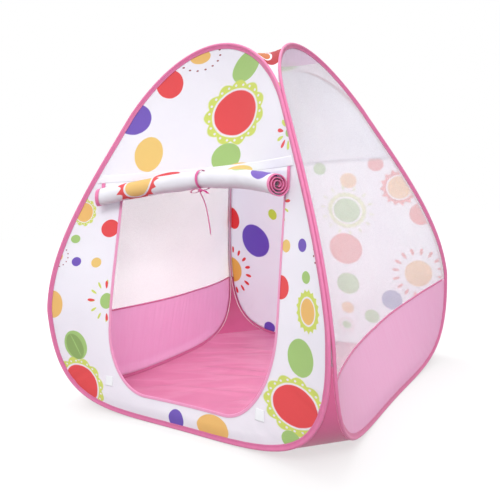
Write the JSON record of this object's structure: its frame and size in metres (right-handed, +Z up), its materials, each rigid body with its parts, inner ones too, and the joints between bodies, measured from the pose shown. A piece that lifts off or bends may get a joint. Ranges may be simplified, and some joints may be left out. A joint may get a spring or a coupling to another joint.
{
  "type": "kids pop-up play tent",
  "caption": "Children's pop-up play tent on bowed spring-wire hoops, with a printed front and back, sheer side walls over a skirt, a tied-up door flap and a sewn-in floor.",
  "frame": {"origin": "on the ground under the middle of the tent", "axes": "+Z up, -Y out of the doorway, +X towards the sheer wall on the right of someone who faces the doorway"},
  "size_m": [0.9182, 0.9182, 0.9993],
  "materials": {
    "spring_wire": "satin",
    "crimp_steel": "satin",
    "bias_tape": "satin",
    "printed_cloth": "matte",
    "plain_cloth": "matte",
    "sheer_cloth": "translucent",
    "skirt_cloth": "matte",
    "floor_cloth": "matte",
    "ribbon": "satin",
    "hook_and_loop": "matte"
  },
  "bodies": {
    "front": {"wire_front": "spring_wire", "crimp_front": "crimp_steel", "sleeve_front": "bias_tape", "front_wall": "printed_cloth", "door_binding": "bias_tape", "seam_band": "plain_cloth", "patch_left": "hook_and_loop", "patch_right": "hook_and_loop", "door_flap": "printed_cloth", "flap_edge_left": "bias_tape", "flap_edge_right": "bias_tape", "tie_front": "ribbon", "tie_back": "ribbon", "tie_knot": "ribbon", "tie_bow": "ribbon", "tie_short_tail": "ribbon", "tie_long_tail": "ribbon", "floor": "floor_cloth", "roof": "printed_cloth", "gusset_front_left": "floor_cloth", "gusset_front_right": "floor_cloth", "gusset_back_left": "floor_cloth", "gusset_back_right": "floor_cloth", "corner_seam_front_left": "bias_tape", "corner_seam_front_right": "bias_tape", "corner_seam_back_left": "bias_tape", "corner_seam_back_right": "bias_tape"},
    "right": {"wire_right": "spring_wire", "crimp_right": "crimp_steel", "sleeve_right": "bias_tape", "sheer_right": "sheer_cloth", "skirt_right": "skirt_cloth", "skirt_tape_right": "bias_tape"},
    "left": {"wire_left": "spring_wire", "crimp_left": "crimp_steel", "sleeve_left": "bias_tape", "sheer_left": "sheer_cloth", "skirt_left": "skirt_cloth", "skirt_tape_left": "bias_tape"},
    "back": {"wire_back": "spring_wire", "crimp_back": "crimp_steel", "sleeve_back": "bias_tape", "back_upper": "plain_cloth", "back_wall": "printed_cloth", "back_seam": "plain_cloth"}
  },
  "joints": [
    {"name": "front_right_fold", "type": "hinge", "parent": "front", "child": "right", "pos_m": [0.484, -0.484, 0.29], "axis": [0.3137, -0.3137, -0.8962], "range_deg": [0, 43], "stiffness_Nm_per_rad": 1.5, "springref_deg": -34.38, "deforming": ["floor", "roof", "gusset_front_left", "gusset_front_right", "gusset_back_left", "gusset_back_right", "corner_seam_front_left", "corner_seam_front_right", "corner_seam_back_left", "corner_seam_back_right"]},
    {"name": "front_left_fold", "type": "hinge", "parent": "front", "child": "left", "pos_m": [-0.435, -0.435, 0.21], "axis": [-0.3137, -0.3137, -0.8962], "range_deg": [0, 43], "stiffness_Nm_per_rad": 0.5, "springref_deg": -34.38},
    {"name": "back_right_fold", "type": "hinge", "parent": "right", "child": "back", "pos_m": [0.435, 0.435, 0.21], "axis": [-0.3137, -0.3137, 0.8962], "range_deg": [0, 43], "stiffness_Nm_per_rad": 0.5, "springref_deg": -34.38}
  ],
  "couplings": [
    {"joint": "front_left_fold", "follows": "front_right_fold", "ratio": 1},
    {"joint": "back_right_fold", "follows": "front_right_fold", "ratio": 1}
  ]
}
